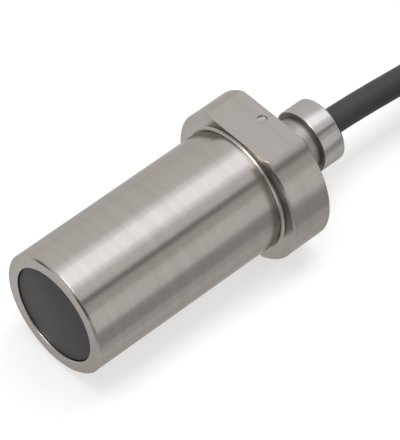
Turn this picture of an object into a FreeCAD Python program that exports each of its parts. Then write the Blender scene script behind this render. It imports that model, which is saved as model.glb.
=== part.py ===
import FreeCAD, Part
import math
import os

import Sketcher
from FreeCAD import Placement, Rotation, Vector

# Inductive proximity sensor with a smooth barrel and a fixed cable, in millimetres.
# The origin is the middle of the sensing face on the barrel's axis. +X runs to the cable and
# +Z is up. The sensor lies on the lower wrench flat of its collar.

SIZES = (
    ("barrel_dia", 28.0, "smooth barrel, the size that a mounting clamp grips"),
    ("barrel_end", 49.0, "rear end of the barrel sleeve"),
    ("barrel_bore", 25.0, "bore of the sleeve behind its front lip"),
    ("lip_depth", 1.2, "front lip that holds the cap in"),
    ("face_opening", 22.0, "opening of the lip round the sensing face"),
    ("face_recess", 0.45, "how far the black face is set back"),
    ("front_chamfer", 0.5, "outer edge of the lip"),
    ("lip_break", 0.15, "inner edge of the lip"),
    ("rear_break", 0.12, "rear edge of the sleeve"),
    ("cap_end", 16.0, "rear rim of the sensing cap"),
    ("cap_floor", 2.2, "inner face of the sensing cap"),
    ("cap_thick_end", 5.0, "where the cap's wall steps to make room for the shield ring"),
    ("core_dia", 21.0, "ferrite pot, and the cap's narrow bore"),
    ("shield_dia", 22.8, "outside of the shield ring, and the cap's wide bore"),
    ("shield_end", 13.4, "rear end of the shield ring"),
    ("cap_groove_start", 2.4, "seal groove in the cap"),
    ("cap_groove_width", 1.5, "seal groove in the cap"),
    ("cap_groove_depth", 1.2, "seal groove in the cap"),
    ("core_end", 9.9, "rear face of the ferrite pot"),
    ("core_floor", 7.9, "inner face of the pot's base"),
    ("core_post_dia", 8.4, "centre post of the pot"),
    ("core_hole_dia", 3.0, "hole down the centre post"),
    ("core_wall_bore", 18.0, "inside of the pot's outer wall"),
    ("core_slot_inner", 7.2, "where the lead slots start, from the axis"),
    ("core_slot_width", 3.2, "lead slots"),
    ("bobbin_wall", 0.5, "tube and flanges of the bobbin"),
    ("winding_dia", 17.0, "outside of the winding and of the bobbin's flanges"),
    ("carrier_end", 12.9, "rear face of the core carrier"),
    ("board_start", 11.4, "front edge of the circuit board, in the carrier's slot"),
    ("board_end", 42.5, "rear edge of the circuit board"),
    ("board_width", 18.0, "circuit board"),
    ("board_thick", 1.6, "circuit board"),
    ("lead_dia", 0.4, "wire from the winding to the board"),
    ("solder_gap", 0.05, "solder or resin between the board and what lies along it"),
    ("lead_side", 8.66, "lead from the axis, sideways"),
    ("lead_start", 6.4, "front end of each lead"),
    ("lead_end", 15.2, "rear end of each lead"),
    ("spigot_start", 42.5, "front end of the head's spigot in the sleeve"),
    ("head_cavity_dia", 21.0, "hollow of the head"),
    ("head_cavity_end", 54.0, "rear face of the head's hollow"),
    ("head_groove_start", 44.8, "seal groove in the spigot"),
    ("head_groove_width", 1.6, "seal groove in the spigot"),
    ("head_groove_depth", 1.2, "seal groove in the spigot"),
    ("seam_dia", 27.2, "floor of the thin groove between sleeve and head"),
    ("seam_width", 0.4, "thin groove between sleeve and head"),
    ("collar_start", 50.0, "front face of the collar"),
    ("collar_width", 10.0, "collar"),
    ("collar_dia", 35.0, "collar"),
    ("collar_chamfer", 0.7, "both edges of the collar"),
    ("flats_across", 30.0, "wrench size over the two flats"),
    ("neck_dia", 12.0, "neck behind the collar"),
    ("neck_end", 68.3, "where the neck meets the clamp cap"),
    ("neck_spigot_dia", 10.8, "end of the neck inside the clamp cap"),
    ("neck_spigot_end", 72.0, "rear face of the neck, inside the clamp cap"),
    ("grommet_start", 62.0, "front end of the cable grommet"),
    ("grommet_end", 71.2, "rear end of the cable grommet"),
    ("grommet_dia", 8.8, "cable grommet, and the neck's wide bore"),
    ("clamp_dia", 14.7, "clamp cap"),
    ("clamp_end", 74.0, "rear face of the clamp cap, where the cable comes out"),
    ("clamp_round", 0.45, "rear edge of the clamp cap"),
    ("clamp_break", 0.15, "front edge of the clamp cap"),
    ("dimple_dia", 2.0, "locating dimple on the upper flat"),
    ("dimple_depth", 0.55, "locating dimple on the upper flat"),
    ("dimple_along", 57.5, "place of the dimple"),
    ("dimple_side", 0.5, "place of the dimple"),
    ("cable_dia", 6.0, "outside of the cable"),
    ("jacket_start", 52.5, "front end of the cable's jacket, in the head's hollow"),
    ("wire_dia", 1.3, "insulated wires of the cable"),
    ("wire_pitch", 1.35, "middle of each wire from the middle of the cable"),
    ("wire_side", 3.2, "spacing of the wires on the board"),
    ("coil_x", 142.0, "middle of the put-away coil"),
    ("coil_side", 12.0, "how far sideways the middle of the outer turns reaches"),
    ("coil_turned", 18.0, "degrees that the cable has turned where it joins the coil"),
    ("coil_inner_turn", 27.5, "radius of the inner turns, at their middle"),
    ("coil_columns", 2, "turns side by side"),
    ("coil_layers", 5, "turns on each other"),
    ("entry_layer", 2, "layers below the one that the cable joins"),
    ("coil_slack", 0.6, "room round the turns, the thickness of the tie"),
    ("coil_stub", 24.0, "straight lead into the coil"),
    ("rise_length", 9.0, "hump where the last turn comes up on top"),
    ("rise_sunk", 1.0, "foot of the hump inside the coil"),
    ("rise_corner", 1.6, "upper corners of the hump"),
    ("tie_angle", 12.0, "degrees of the coil that the tie covers"),
    ("tie_corner", 2.1, "corners of the tie's inside"),
    ("tie_outer_corner", 2.5, "corners of the coil and of the tie's outside"),
    ("ferrule_dia", 1.5, "crimped end of each wire"),
    ("ferrule_length", 8.0, "crimped end of each wire"),
)

doc = FreeCAD.newDocument("proximity_sensor")
sheet = doc.addObject("Spreadsheet::Sheet", "Sizes")
for row, (alias, number, note) in enumerate(SIZES, start=1):
    sheet.set("A%d" % row, alias)
    sheet.set("B%d" % row, "%g" % number)
    sheet.setAlias("B%d" % row, alias)
    sheet.set("C%d" % row, note)
doc.recompute()

pieces = []


# Sums of sheet names, written with spaces, such as "barrel_dia / 2 - front_chamfer"

def value(text):
    """The number that the sum comes to now."""
    words = text.split()
    total = 0.0
    term = 0.0
    for operator, word in zip(["+"] + words[1::2], words[0::2]):
        number = getattr(sheet, word) if word[0].isalpha() else float(word)
        if operator == "/":
            term /= number
        elif operator == "*":
            term *= number
        else:
            total += term
            term = number if operator == "+" else -number
    return total + term


def bound(text):
    """The same sum as an expression on the sheet."""
    return " ".join("Sizes." + word if word[0].isalpha() else word for word in text.split())


def keep(piece, label):
    """Names a finished piece and puts it on the list of pieces to write."""
    piece.Label = label
    pieces.append(piece)
    return piece


# Bodies and sketches

def new_body(label):
    return keep(doc.addObject("PartDesign::Body", label), label)


def plane(body, role):
    return next(each for each in body.Origin.OriginFeatures if each.Role == role)


def pin(sketch, geometry, point, across, up):
    """Fixes a point of a sketch at two sums of sheet names."""
    for kind, text, axis in (("DistanceX", across, -2), ("DistanceY", up, -1)):
        if text == "0":
            sketch.addConstraint(Sketcher.Constraint("PointOnObject", geometry, point, axis))
            continue
        index = sketch.addConstraint(Sketcher.Constraint(kind, geometry, point, value(text)))
        sketch.setExpression("Constraints[%d]" % index, bound(text))


def new_sketch(body, name, role):
    sketch = body.newObject("Sketcher::SketchObject", body.Name + "_" + name)
    sketch.AttachmentSupport = [(plane(body, role), "")]
    sketch.MapMode = "FlatFace"
    return sketch


def draw(body, name, role, *loops):
    """A sketch of closed outlines, each a list of corners given as pairs of sums."""
    sketch = new_sketch(body, name, role)
    for corners in loops:
        places = [Vector(value(across), value(up), 0) for across, up in corners]
        first = sketch.GeometryCount
        count = len(corners)
        for index in range(count):
            sketch.addGeometry(Part.LineSegment(places[index], places[(index + 1) % count]), False)
        for index in range(count):
            after = first + (index + 1) % count
            sketch.addConstraint(Sketcher.Constraint("Coincident", first + index, 2, after, 1))
        for index, (across, up) in enumerate(corners):
            pin(sketch, first + index, 1, across, up)
    return sketch


def ring_sketch(body, name, role, across, up, radius):
    """A sketch of one circle."""
    sketch = new_sketch(body, name, role)
    middle = Vector(value(across), value(up), 0)
    circle = sketch.addGeometry(Part.Circle(middle, Vector(0, 0, 1), value(radius)), False)
    pin(sketch, circle, 3, across, up)
    index = sketch.addConstraint(Sketcher.Constraint("Radius", circle, value(radius)))
    sketch.setExpression("Constraints[%d]" % index, bound(radius))
    return sketch


def spin(body, sketch, axis="H_Axis"):
    turned = body.newObject("PartDesign::Revolution", body.Name + "_turned")
    turned.Profile = sketch
    turned.ReferenceAxis = (sketch, [axis])
    turned.Angle = 360
    sketch.Visibility = False
    doc.recompute()
    return turned


def turned_piece(label, corners):
    """One turned piece: its half section, as stations along the axis and radii."""
    body = new_body(label)
    spin(body, draw(body, "section", "XY_Plane", corners))
    return body


def cut_away(body, sketch, name):
    """Cuts a sketch through the rest of the body towards +X, and proves that it cut."""
    before = body.Shape.Volume
    pocket = body.newObject("PartDesign::Pocket", body.Name + "_" + name)
    pocket.Profile = sketch
    pocket.Reversed = True
    pocket.Type = "ThroughAll"
    doc.recompute()
    if body.Shape.Volume >= before - 1e-6:
        raise ValueError(name + " cuts nothing from " + body.Label)
    return pocket


def round_off(body, name, edges, radius):
    """Rounds named edges of the body's last feature."""
    base = body.Tip
    before = body.Shape.Volume
    rounded = body.newObject("PartDesign::Fillet", body.Name + "_" + name)
    rounded.Base = (base, edges)
    rounded.setExpression("Radius", bound(radius))
    doc.recompute()
    if rounded.Shape.isNull() or abs(body.Shape.Volume - before) < 1e-6:
        raise ValueError(name + " rounds nothing on " + body.Label)
    return rounded


def box_loop(left, right, low, high):
    return [(left, low), (right, low), (right, high), (left, high)]


# Barrel sleeve: one stainless tube, turned with a thick lip at the front.

turned_piece("barrel_sleeve", [
    ("0", "face_opening / 2 + lip_break"),
    ("0", "barrel_dia / 2 - front_chamfer"),
    ("front_chamfer", "barrel_dia / 2"),
    ("barrel_end - rear_break", "barrel_dia / 2"),
    ("barrel_end", "barrel_dia / 2 - rear_break"),
    ("barrel_end", "barrel_bore / 2"),
    ("lip_depth", "barrel_bore / 2"),
    ("lip_depth", "face_opening / 2"),
    ("lip_break", "face_opening / 2"),
])

# Sensing cap: a moulded black cup, pushed in from behind until its flange meets the lip.

CAP_GROOVE_END = "cap_groove_start + cap_groove_width"
CAP_GROOVE_FLOOR = "barrel_bore / 2 - cap_groove_depth"

turned_piece("sensing_cap", [
    ("face_recess", "0"),
    ("face_recess", "face_opening / 2"),
    ("lip_depth", "face_opening / 2"),
    ("lip_depth", "barrel_bore / 2"),
    ("cap_groove_start", "barrel_bore / 2"),
    ("cap_groove_start", CAP_GROOVE_FLOOR),
    (CAP_GROOVE_END, CAP_GROOVE_FLOOR),
    (CAP_GROOVE_END, "barrel_bore / 2"),
    ("cap_end", "barrel_bore / 2"),
    ("cap_end", "shield_dia / 2"),
    ("cap_thick_end", "shield_dia / 2"),
    ("cap_thick_end", "core_dia / 2"),
    ("cap_floor", "core_dia / 2"),
    ("cap_floor", "0"),
])


SEAL_CORNER = 0.29


def seal_ring(label, groove_start, groove_width, groove_depth):
    """A rubber ring pressed into a groove, from its floor to the sleeve's bore."""
    corner = " * %g" % SEAL_CORNER
    middle = groove_start + " + " + groove_width + " / 2"
    left = middle + " - " + groove_depth + " / 2"
    right = middle + " + " + groove_depth + " / 2"
    low = "barrel_bore / 2 - " + groove_depth
    high = "barrel_bore / 2"
    cut = groove_depth + corner
    return turned_piece(label, [
        (left + " + " + cut, low), (right + " - " + cut, low),
        (right, low + " + " + cut), (right, high + " - " + cut),
        (right + " - " + cut, high), (left + " + " + cut, high),
        (left, high + " - " + cut), (left, low + " + " + cut),
    ])


seal_ring("cap_seal", "cap_groove_start", "cap_groove_width", "cap_groove_depth")
seal_ring("head_seal", "head_groove_start", "head_groove_width", "head_groove_depth")

# Pot core: pressed ferrite, open to the front, with two slots for the winding's leads.

pot_core = turned_piece("pot_core", [
    ("cap_floor", "core_hole_dia / 2"),
    ("cap_floor", "core_post_dia / 2"),
    ("core_floor", "core_post_dia / 2"),
    ("core_floor", "core_wall_bore / 2"),
    ("cap_floor", "core_wall_bore / 2"),
    ("cap_floor", "core_dia / 2"),
    ("core_end", "core_dia / 2"),
    ("core_end", "core_hole_dia / 2"),
])
SLOT_SIDES = ("0 - core_slot_width / 2", "core_slot_width / 2")
cut_away(pot_core, draw(
    pot_core, "slots", "YZ_Plane",
    box_loop("core_slot_inner", "core_dia / 2 + bobbin_wall", *SLOT_SIDES),
    box_loop("0 - core_dia / 2 - bobbin_wall", "0 - core_slot_inner", *SLOT_SIDES),
), "slots")

# Bobbin and winding: the former sits on the core's post and carries the copper.

turned_piece("coil_bobbin", [
    ("cap_floor", "core_post_dia / 2"),
    ("cap_floor", "winding_dia / 2"),
    ("cap_floor + bobbin_wall", "winding_dia / 2"),
    ("cap_floor + bobbin_wall", "core_post_dia / 2 + bobbin_wall"),
    ("core_floor - bobbin_wall", "core_post_dia / 2 + bobbin_wall"),
    ("core_floor - bobbin_wall", "winding_dia / 2"),
    ("core_floor", "winding_dia / 2"),
    ("core_floor", "core_post_dia / 2"),
])
turned_piece("coil_winding", [
    ("cap_floor + bobbin_wall", "core_post_dia / 2 + bobbin_wall"),
    ("cap_floor + bobbin_wall", "winding_dia / 2"),
    ("core_floor - bobbin_wall", "winding_dia / 2"),
    ("core_floor - bobbin_wall", "core_post_dia / 2 + bobbin_wall"),
])

# Shield ring: a brass tube round the core, in the step of the cap's wall.

turned_piece("shield_ring", [
    ("cap_thick_end", "core_dia / 2"),
    ("cap_thick_end", "shield_dia / 2"),
    ("shield_end", "shield_dia / 2"),
    ("shield_end", "core_dia / 2"),
])

# Core carrier: a moulded disc with a pin in the core's hole. It holds the board in a slot and
# lets the leads past its edge.

core_carrier = turned_piece("core_carrier", [
    ("cap_floor", "0"),
    ("cap_floor", "core_hole_dia / 2"),
    ("core_end", "core_hole_dia / 2"),
    ("core_end", "core_dia / 2"),
    ("carrier_end", "core_dia / 2"),
    ("carrier_end", "0"),
])
NOTCH_SIDES = ("board_thick / 2", "board_thick / 2 + lead_dia * 2")
cut_away(core_carrier, draw(
    core_carrier, "notches", "YZ_Plane",
    box_loop("lead_side - lead_dia", "core_dia / 2 + bobbin_wall", *NOTCH_SIDES),
    box_loop("0 - core_dia / 2 - bobbin_wall", "0 - lead_side + lead_dia", *NOTCH_SIDES),
), "notches")
board_slot = draw(
    core_carrier, "board_slot", "YZ_Plane",
    box_loop("0 - board_width / 2", "board_width / 2", "0 - board_thick / 2", "board_thick / 2"),
)
board_slot.AttachmentOffset = Placement(Vector(0, 0, value("board_start")), Rotation())
board_slot.setExpression("AttachmentOffset.Base.z", bound("board_start"))
cut_away(core_carrier, board_slot, "board_slot")

# Circuit board and what is soldered on it. Each part stands on the board's upper side.

BOARD_TOP = "board_thick / 2"


def block(label, corner, size):
    """A box by its lowest corner and its size, both as sums or plain numbers."""
    box = doc.addObject("Part::Box", label)
    for name, text in zip(("Length", "Width", "Height"), size):
        box.setExpression(name, bound(str(text)))
    for name, text in zip("xyz", corner):
        box.setExpression("Placement.Base." + name, bound(str(text)))
    return box


def joined(label, solids):
    whole = doc.addObject("Part::MultiFuse", label)
    whole.Shapes = solids
    return keep(whole, label)


def grouped(label, solids):
    group = doc.addObject("Part::Compound", label)
    group.Links = solids
    return keep(group, label)


keep(block(
    "circuit_board",
    ("board_start", "0 - board_width / 2", "0 - board_thick / 2"),
    ("board_end - board_start", "board_width", "board_thick"),
), "circuit_board")


def chip(label, start, side, size, leg_count, leg_width):
    """A moulded chip with bent legs along both long sides, from the middle of its front edge."""
    length, width, height = size
    leg_reach = 1.0
    leg_thick = 0.2
    floor = value(BOARD_TOP)
    solids = [block(label + "_case", (start, side - width / 2, floor + leg_thick / 2),
                    (length, width, height))]
    pitch = length / leg_count
    for index in range(leg_count):
        along = start + pitch * (index + 0.5) - leg_width / 2
        for sign in (-1, 1):
            low = side + sign * (width / 2 + leg_reach / 2) - leg_reach / 2
            foot = block("%s_foot" % label, (along, low, floor), (leg_width, leg_reach, leg_thick))
            near = side + sign * (width / 2 + leg_thick / 2) - leg_thick / 2
            rise = block("%s_rise" % label, (along, near, floor), (leg_width, leg_thick, height / 2))
            solids += [foot, rise]
    return joined(label, solids)


CHIP_SIZE = (5.0, 4.0, 1.5)
TRANSISTOR_SIZE = (6.5, 3.5, 1.6)
TANTALUM_SIZE = (3.5, 2.8, 1.9)
CAPACITOR_SIZE = (2.0, 1.25, 0.9)
RESISTOR_SIZE = (1.6, 0.8, 0.45)
DIODE_SIZE = (3.4, 1.8, 1.1)
CAPACITOR_PLACES = ((21.0, -6.4), (25.0, -6.4), (27.4, -2.6), (33.0, 6.6), (37.2, 6.6))
RESISTOR_PLACES = ((20.6, 5.0), (23.2, 5.0), (25.8, 5.0), (28.4, 1.2), (28.4, 3.0), (40.4, -5.0))
DIODE_PLACES = ((29.6, -7.2), (34.4, -7.2))

CHIP_PLACE = (20.0, 0.0)
CHIP_LEGS = (4, 0.4)
TRANSISTOR_PLACE = (32.0, 0.0)
TRANSISTOR_LEGS = (2, 0.9)
TANTALUM_PLACE = (15.9, -TANTALUM_SIZE[1] / 2, BOARD_TOP)

chip("oscillator_chip", *CHIP_PLACE, CHIP_SIZE, *CHIP_LEGS)
chip("output_transistor", *TRANSISTOR_PLACE, TRANSISTOR_SIZE, *TRANSISTOR_LEGS)


def row_of_parts(label, places, size):
    length, width, height = size
    floor = value(BOARD_TOP)
    return grouped(label, [
        block("%s_%d" % (label, index), (along, side - width / 2, floor), (length, width, height))
        for index, (along, side) in enumerate(places)
    ])


keep(block("tantalum_capacitor", TANTALUM_PLACE, TANTALUM_SIZE), "tantalum_capacitor")
row_of_parts("chip_capacitors", CAPACITOR_PLACES, CAPACITOR_SIZE)
row_of_parts("chip_resistors", RESISTOR_PLACES, RESISTOR_SIZE)
row_of_parts("protection_diodes", DIODE_PLACES, DIODE_SIZE)


def straight_rod(label, start, length, side, up, diameter):
    """A round rod along X."""
    rod = doc.addObject("Part::Cylinder", label)
    rod.setExpression("Radius", bound(diameter + " / 2"))
    rod.setExpression("Height", bound(length))
    rod.Placement = Placement(Vector(), Rotation(Vector(0, 1, 0), 90))
    for name, text in (("x", start), ("y", side), ("z", up)):
        rod.setExpression("Placement.Base." + name, bound(text))
    return rod


LEAD_UP = "board_thick / 2 + lead_dia / 2 + solder_gap"
grouped("coil_leads", [
    straight_rod(name, "lead_start", "lead_end - lead_start", side, LEAD_UP, "lead_dia")
    for name, side in (("left_lead", "lead_side"), ("right_lead", "0 - lead_side"))
])

# Sensor head: one turned piece. Its spigot closes the sleeve, its collar has two milled flats,
# and its neck carries the cable.

COLLAR_END = "collar_start + collar_width"
HEAD_GROOVE_END = "head_groove_start + head_groove_width"
HEAD_GROOVE_FLOOR = "barrel_bore / 2 - head_groove_depth"
SEAM_END = "barrel_end + seam_width"

sensor_head = turned_piece("sensor_head", [
    ("spigot_start", "head_cavity_dia / 2"),
    ("spigot_start", "barrel_bore / 2"),
    ("head_groove_start", "barrel_bore / 2"),
    ("head_groove_start", HEAD_GROOVE_FLOOR),
    (HEAD_GROOVE_END, HEAD_GROOVE_FLOOR),
    (HEAD_GROOVE_END, "barrel_bore / 2"),
    ("barrel_end", "barrel_bore / 2"),
    ("barrel_end", "seam_dia / 2"),
    (SEAM_END, "seam_dia / 2"),
    (SEAM_END, "barrel_dia / 2"),
    ("collar_start", "barrel_dia / 2"),
    ("collar_start", "collar_dia / 2 - collar_chamfer"),
    ("collar_start + collar_chamfer", "collar_dia / 2"),
    (COLLAR_END + " - collar_chamfer", "collar_dia / 2"),
    (COLLAR_END, "collar_dia / 2 - collar_chamfer"),
    (COLLAR_END, "neck_dia / 2"),
    ("neck_end", "neck_dia / 2"),
    ("neck_end", "neck_spigot_dia / 2"),
    ("neck_spigot_end", "neck_spigot_dia / 2"),
    ("neck_spigot_end", "grommet_dia / 2"),
    ("grommet_start", "grommet_dia / 2"),
    ("grommet_start", "cable_dia / 2"),
    ("head_cavity_end", "cable_dia / 2"),
    ("head_cavity_end", "head_cavity_dia / 2"),
])
cut_away(sensor_head, draw(
    sensor_head, "flats", "YZ_Plane",
    box_loop("0 - collar_dia", "collar_dia", "flats_across / 2", "collar_dia"),
    box_loop("0 - collar_dia", "collar_dia", "0 - collar_dia", "0 - flats_across / 2"),
), "flats")


def add_dimple(body):
    """Cuts the drilled dimple into the upper flat."""
    before = body.Shape.Volume
    cone = body.newObject("PartDesign::SubtractiveCone", body.Name + "_dimple")
    cone.setExpression("Radius2", bound("dimple_dia / 2"))
    cone.Radius1 = 0
    cone.setExpression("Height", bound("dimple_depth"))
    for name, text in (("x", "dimple_along"), ("y", "dimple_side"),
                       ("z", "flats_across / 2 - dimple_depth")):
        cone.setExpression("Placement.Base." + name, bound(text))
    doc.recompute()
    if body.Shape.Volume >= before - 1e-6:
        raise ValueError("the dimple cuts nothing")


add_dimple(sensor_head)

# Cable end of the head: grommet, washer and the round cap that clamps them.

turned_piece("cable_grommet", [
    ("grommet_start", "cable_dia / 2"),
    ("grommet_start", "grommet_dia / 2"),
    ("grommet_end", "grommet_dia / 2"),
    ("grommet_end", "cable_dia / 2"),
])
turned_piece("clamp_washer", [
    ("grommet_end", "cable_dia / 2"),
    ("grommet_end", "grommet_dia / 2"),
    ("neck_spigot_end", "grommet_dia / 2"),
    ("neck_spigot_end", "cable_dia / 2"),
])


def edge_at(shape, along, radius):
    """The name of the round edge about X at a station and a radius."""
    for index, edge in enumerate(shape.Edges, start=1):
        curve = edge.Curve
        if not isinstance(curve, Part.Circle):
            continue
        if abs(curve.Center.x - along) < 1e-4 and abs(curve.Radius - radius) < 1e-4:
            return "Edge%d" % index
    raise ValueError("no round edge at %g, %g" % (along, radius))


cable_clamp_cap = turned_piece("cable_clamp_cap", [
    ("neck_end", "neck_spigot_dia / 2"),
    ("neck_end", "clamp_dia / 2 - clamp_break"),
    ("neck_end + clamp_break", "clamp_dia / 2"),
    ("clamp_end", "clamp_dia / 2"),
    ("clamp_end", "cable_dia / 2"),
    ("neck_spigot_end", "cable_dia / 2"),
    ("neck_spigot_end", "neck_spigot_dia / 2"),
])
rear_edge = edge_at(cable_clamp_cap.Shape, value("clamp_end"), value("clamp_dia / 2"))
round_off(cable_clamp_cap, "rear_round", [rear_edge], "clamp_round")

# Cable. Inside the head it is a straight length of jacket, and from the clamp cap it is a tube
# whose path is straight runs joined by tangent arcs.

keep(straight_rod("jacket_end", "jacket_start", "clamp_end - jacket_start", "0", "0", "cable_dia"),
     "jacket_end")

ARC_SHARE = 0.45


def rounded_path(name, points, diameter):
    """The path through a list of points, each corner an arc as large as its runs allow."""
    edges = []
    start = points[0]
    tightest = None
    for before, corner, after in zip(points, points[1:], points[2:]):
        arriving = (corner - before).normalize()
        leaving = (after - corner).normalize()
        turn = arriving.getAngle(leaving)
        setback = ARC_SHARE * min((corner - before).Length, (after - corner).Length)
        radius = setback / math.tan(turn / 2)
        tightest = radius if tightest is None else min(tightest, radius)
        arc_start = corner - arriving * setback
        arc_end = corner + leaving * setback
        inward = (leaving - arriving).normalize()
        middle = corner + inward * (radius / math.cos(turn / 2) - radius)
        edges.append(Part.LineSegment(start, arc_start).toShape())
        edges.append(Part.Arc(arc_start, middle, arc_end).toShape())
        start = arc_end
    edges.append(Part.LineSegment(start, points[-1]).toShape())
    print("%s: tightest radius %.1f mm, %.1f diameters" % (name, tightest, tightest / diameter))
    return Part.Wire(edges)


def swept(label, path, start, facing, diameter):
    """A round solid along a path, its volume checked against section times length."""
    section = Part.Wire([Part.Circle(start, facing, diameter / 2).toShape()])
    solid = path.makePipeShell([section], True, False)
    expected = math.pi * diameter ** 2 / 4 * path.Length
    if abs(solid.Volume / expected - 1) > 0.005:
        raise ValueError("%s has the wrong volume" % label)
    print("%s: length %.1f mm" % (label, path.Length))
    feature = doc.addObject("Part::Feature", label)
    feature.Shape = solid
    return keep(feature, label)


def tube(label, points, diameter_alias):
    """A round solid along the rounded path through its points."""
    diameter = value(diameter_alias)
    facing = (points[1] - points[0]).normalize()
    return swept(label, rounded_path(label, points, diameter), points[0], facing, diameter)


COIL_REACH = "coil_inner_turn - cable_dia / 2 - coil_slack"
COIL_OUTER = "coil_inner_turn + cable_dia * coil_columns - cable_dia / 2 + coil_slack"
COIL_LOW = "0 - flats_across / 2"
COIL_HIGH = "0 - flats_across / 2 + cable_dia * coil_layers + coil_slack * 2"
OUTER_TURN = "coil_inner_turn + cable_dia * coil_columns - cable_dia"
MIDDLE_TURN = "coil_inner_turn + cable_dia * coil_columns / 2 - cable_dia / 2"
ENTRY_HEIGHT = "coil_slack + cable_dia / 2 + cable_dia * entry_layer - flats_across / 2"
COIL_MIDDLE = Vector(value("coil_x"), value("coil_side") - value(OUTER_TURN), 0)
JOINED_AT = value("0 - coil_turned")


def turn_point(turned, radius, height):
    """A point over the coil, turned so many degrees clockwise from its +Y side."""
    angle = math.radians(90 - turned)
    return COIL_MIDDLE + Vector(radius * math.cos(angle), radius * math.sin(angle), height)


# From the clamp cap the cable sags a little, bends sideways and joins the coil's outer turns.

coming_in = Vector(math.cos(math.radians(-JOINED_AT)), math.sin(math.radians(-JOINED_AT)), 0)
joining = turn_point(JOINED_AT, value(OUTER_TURN), value(ENTRY_HEIGHT))
stub_face = joining - coming_in * value("coil_stub")
tube("cable_run", [
    Vector(value("clamp_end"), 0, 0),
    Vector(82.0, 0, 0),
    Vector(90.0, 0, -0.3),
    Vector(97.0, 0.1, 0.1),
    stub_face - coming_in * value("cable_dia"),
    stub_face,
], "cable_dia")

# The last part of the cable lies on top of the coil, along its middle.

TAIL_ANGLE = 135.0
TAIL_HEIGHT = value(COIL_HIGH + " + cable_dia / 2")
TAIL_TURN = value(MIDDLE_TURN)
tail_places = [
    turn_point(JOINED_AT + TAIL_ANGLE * share, TAIL_TURN, TAIL_HEIGHT) for share in (0, 0.5, 1)
]
tail_path = Part.Wire([Part.Arc(*tail_places).toShape()])
swept("cable_tail", tail_path, tail_places[0], coming_in, value("cable_dia"))

# Coil: the put-away length as one closed ring of its outer shape, with the straight lead into
# it, the hump where its last turn comes up, and a waist where the tie goes round.


def octagon(inset, corner):
    """The coil's section, moved in by a distance, with its corners cut off."""
    left = COIL_REACH + " + " + inset
    right = COIL_OUTER + " - " + inset
    low = COIL_LOW + " + " + inset
    high = COIL_HIGH + " - " + inset
    return [
        (left + " + " + corner, low), (right + " - " + corner, low),
        (right, low + " + " + corner), (right, high + " - " + corner),
        (right + " - " + corner, high), (left + " + " + corner, high),
        (left, high + " - " + corner), (left, low + " + " + corner),
    ]


def add_lead(body, sketch, name, length):
    """Pads a sketch of the plane that stands across the coil, and proves that it added."""
    lead = body.newObject("PartDesign::Pad", body.Name + "_" + name)
    lead.Profile = sketch
    lead.setExpression("Length", bound(length))
    before = body.Shape.Volume
    doc.recompute()
    if body.Shape.Volume <= before + 1e-6:
        raise ValueError("the coil's %s adds nothing" % name)


def arc_of(body, kind, sketch, name):
    """Turns a sketch about the coil's middle through the tie's angle, half to each side."""
    feature = body.newObject(kind, body.Name + "_" + name)
    feature.Profile = sketch
    feature.ReferenceAxis = (sketch, ["V_Axis"])
    feature.Midplane = True
    feature.setExpression("Angle", bound("tie_angle"))
    doc.recompute()
    return feature


COIL_PLACEMENT = Placement(COIL_MIDDLE, Rotation(Vector(0, 0, 1), value("180 + coil_turned")))
cable_coil = new_body("cable_coil")
cable_coil.Placement = COIL_PLACEMENT
spin(cable_coil, draw(cable_coil, "section", "XZ_Plane", octagon("0", "tie_outer_corner")), "V_Axis")
add_lead(cable_coil, ring_sketch(
    cable_coil, "entry", "YZ_Plane",
    "0 - coil_inner_turn - cable_dia * coil_columns + cable_dia", ENTRY_HEIGHT, "cable_dia / 2",
), "entry_lead", "coil_stub")

HUMP_LEFT = "0 - coil_inner_turn - cable_dia * coil_columns / 2"
HUMP_RIGHT = HUMP_LEFT + " + cable_dia"
HUMP_HIGH = COIL_HIGH + " + cable_dia"
add_lead(cable_coil, draw(cable_coil, "rise", "YZ_Plane", [
    (HUMP_LEFT, COIL_HIGH + " - rise_sunk"),
    (HUMP_RIGHT, COIL_HIGH + " - rise_sunk"),
    (HUMP_RIGHT, HUMP_HIGH + " - rise_corner"),
    (HUMP_RIGHT + " - rise_corner", HUMP_HIGH),
    (HUMP_LEFT + " + rise_corner", HUMP_HIGH),
    (HUMP_LEFT, HUMP_HIGH + " - rise_corner"),
]), "rise_hump", "rise_length")

INSIDE_TIE = octagon("coil_slack", "tie_corner")
waist_before = cable_coil.Shape.Volume
waist = draw(cable_coil, "waist", "XZ_Plane", INSIDE_TIE,
             box_loop(COIL_REACH + " - coil_slack", COIL_OUTER + " + coil_slack",
                      COIL_LOW + " - coil_slack", COIL_HIGH + " + coil_slack"))
arc_of(cable_coil, "PartDesign::Groove", waist, "waist_cut")
if cable_coil.Shape.Volume >= waist_before - 1e-6:
    raise ValueError("the waist cuts nothing from the coil")

coil_tie = new_body("coil_tie")
coil_tie.Placement = COIL_PLACEMENT
band = draw(coil_tie, "band", "XZ_Plane", octagon("0", "tie_outer_corner"), INSIDE_TIE)
arc_of(coil_tie, "PartDesign::Revolution", band, "strap")

# Wires: three cores, from the board into the jacket, and out of the cable's far end.

CORE_ANGLES = {"brown": 90, "blue": 210, "black": 330}
BOARD_WIRE = value(BOARD_TOP + " + wire_dia / 2 + solder_gap")
INNER_STATIONS = [value("jacket_start") - back for back in (0, 3.0, 8.0, 13.0)]
BOARD_SIDES = {"brown": 0.0, "blue": value("0 - wire_side"), "black": value("wire_side")}
END_TURNS = {"brown": 64.0, "blue": 60.0, "black": 62.0}
END_FANS = {"brown": -0.3, "blue": -2.7, "black": 2.1}
ferrules = []


def core_place(colour):
    """Where a core lies in the cable's section, sideways and up."""
    angle = math.radians(CORE_ANGLES[colour])
    pitch = value("wire_pitch")
    return pitch * math.cos(angle), pitch * math.sin(angle)


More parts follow.
